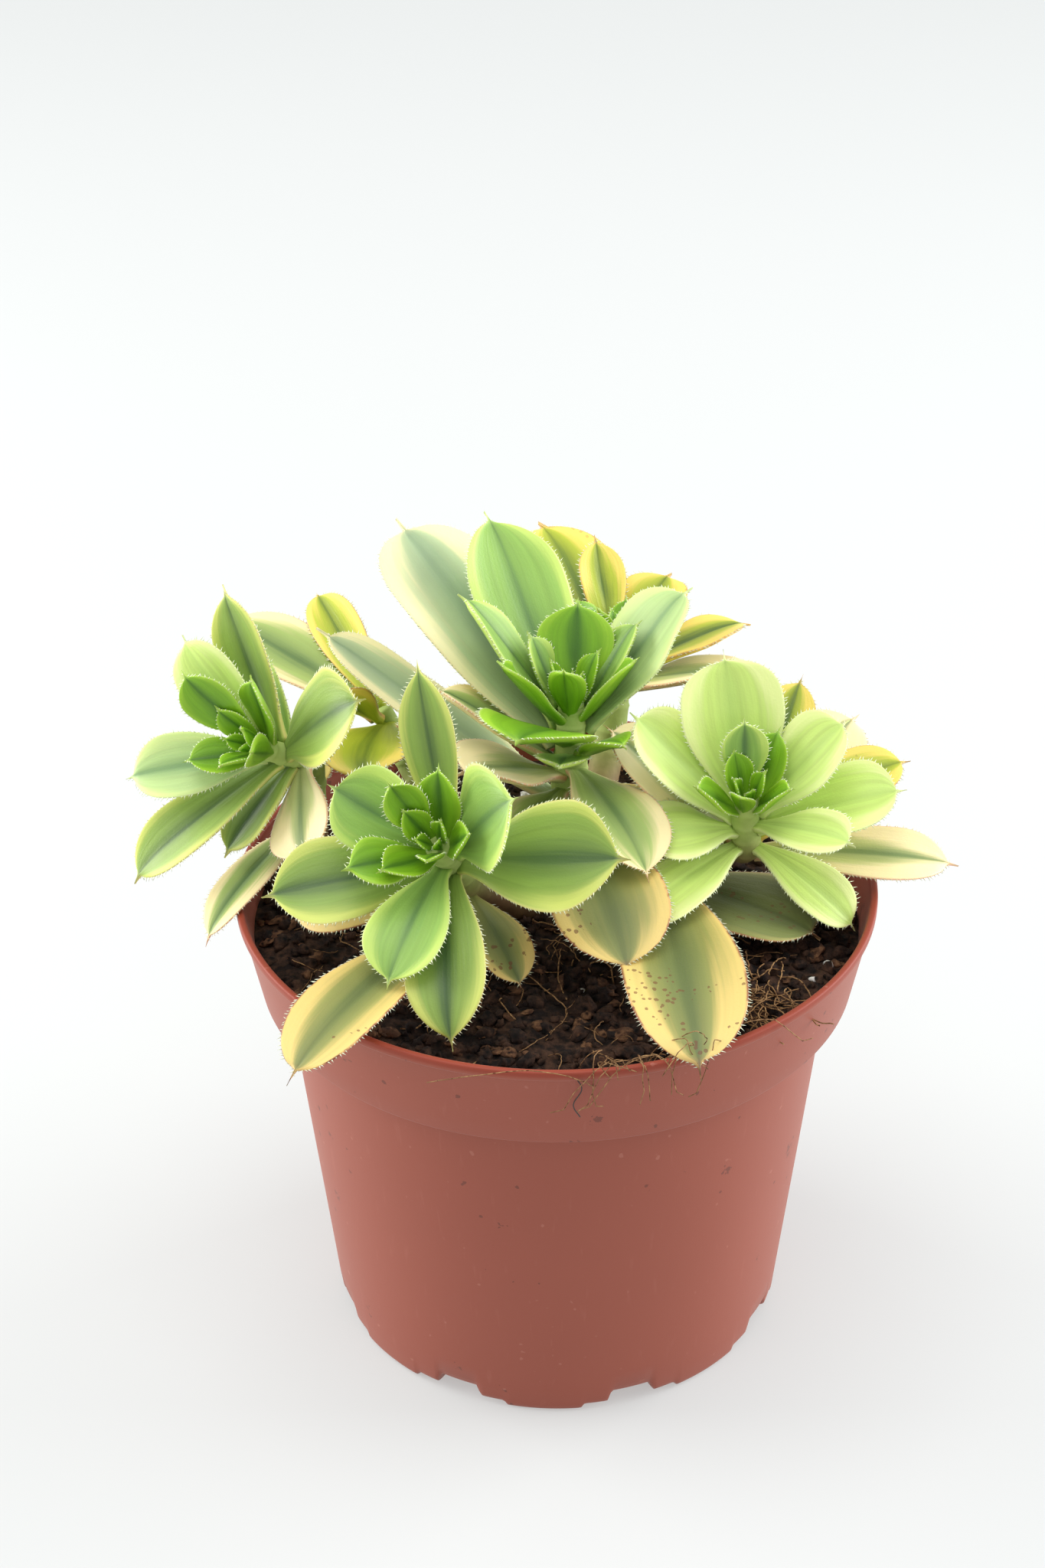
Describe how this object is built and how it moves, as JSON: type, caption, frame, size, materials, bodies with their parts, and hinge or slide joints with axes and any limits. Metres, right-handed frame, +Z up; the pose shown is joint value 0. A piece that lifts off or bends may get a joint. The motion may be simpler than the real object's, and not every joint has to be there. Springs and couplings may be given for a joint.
{
  "type": "potted succulent",
  "caption": "Rosettes of thick, pointed, variegated leaves on short branching stems, in a tapered round nursery pot filled with soil.",
  "frame": {"origin": "centre of the flat underside of the pot", "axes": "+Z up along the pot's axis; -Y towards the front of the plant, +X to its right seen from the front"},
  "size_m": [0.1535, 0.1365, 0.1468],
  "materials": {
    "pot_plastic": "matte terracotta-coloured plastic with a faint sheen",
    "soil": "loose dark potting soil, rough and matte",
    "stem_bark": "smooth dull bark",
    "leaf": "fleshy leaf skin with a soft satin sheen",
    "old_leaf": "older, yellowed leaf skin, satin",
    "young_leaf": "fresh green leaf skin, satin"
  },
  "bodies": {
    "root": {"pot": "pot_plastic", "soil": "soil", "stem_main": "stem_bark", "stem_left": "stem_bark", "heart_left": "young_leaf", "heart_front": "young_leaf", "heart_centre": "young_leaf", "heart_right": "young_leaf", "heart_back": "young_leaf", "leaf_left_1": "leaf", "leaf_left_2": "leaf", "leaf_left_3": "leaf", "leaf_left_4": "leaf", "leaf_left_5": "leaf", "leaf_left_6": "leaf", "leaf_left_7": "leaf", "leaf_front_1": "leaf", "leaf_front_2": "leaf", "leaf_front_3": "leaf", "leaf_front_4": "leaf", "leaf_front_5": "leaf", "leaf_front_6": "leaf", "leaf_front_7": "leaf", "leaf_front_8": "leaf", "leaf_centre_1": "leaf", "leaf_centre_2": "leaf", "leaf_centre_3": "leaf", "leaf_centre_4": "leaf", "leaf_centre_5": "leaf", "leaf_centre_6": "leaf", "leaf_centre_7": "leaf", "leaf_centre_8": "leaf", "leaf_centre_9": "leaf", "leaf_centre_10": "leaf", "leaf_centre_11": "leaf", "leaf_right_1": "leaf", "leaf_right_2": "leaf", "leaf_right_3": "leaf", "leaf_right_4": "leaf", "leaf_right_5": "leaf", "leaf_right_6": "leaf", "leaf_right_7": "leaf", "leaf_right_8": "leaf", "leaf_right_9": "leaf", "leaf_right_10": "leaf", "leaf_right_11": "leaf", "leaf_right_12": "leaf", "leaf_back_1": "leaf", "leaf_back_2": "leaf", "leaf_back_3": "leaf", "leaf_back_4": "leaf", "leaf_back_5": "leaf", "leaf_back_6": "leaf", "leaf_spur_1": "old_leaf", "leaf_spur_2": "old_leaf", "leaf_low_1": "old_leaf", "leaf_low_2": "old_leaf", "leaf_low_3": "old_leaf", "leaf_low_4": "old_leaf", "leaf_low_5": "old_leaf"}
  },
  "joints": []
}
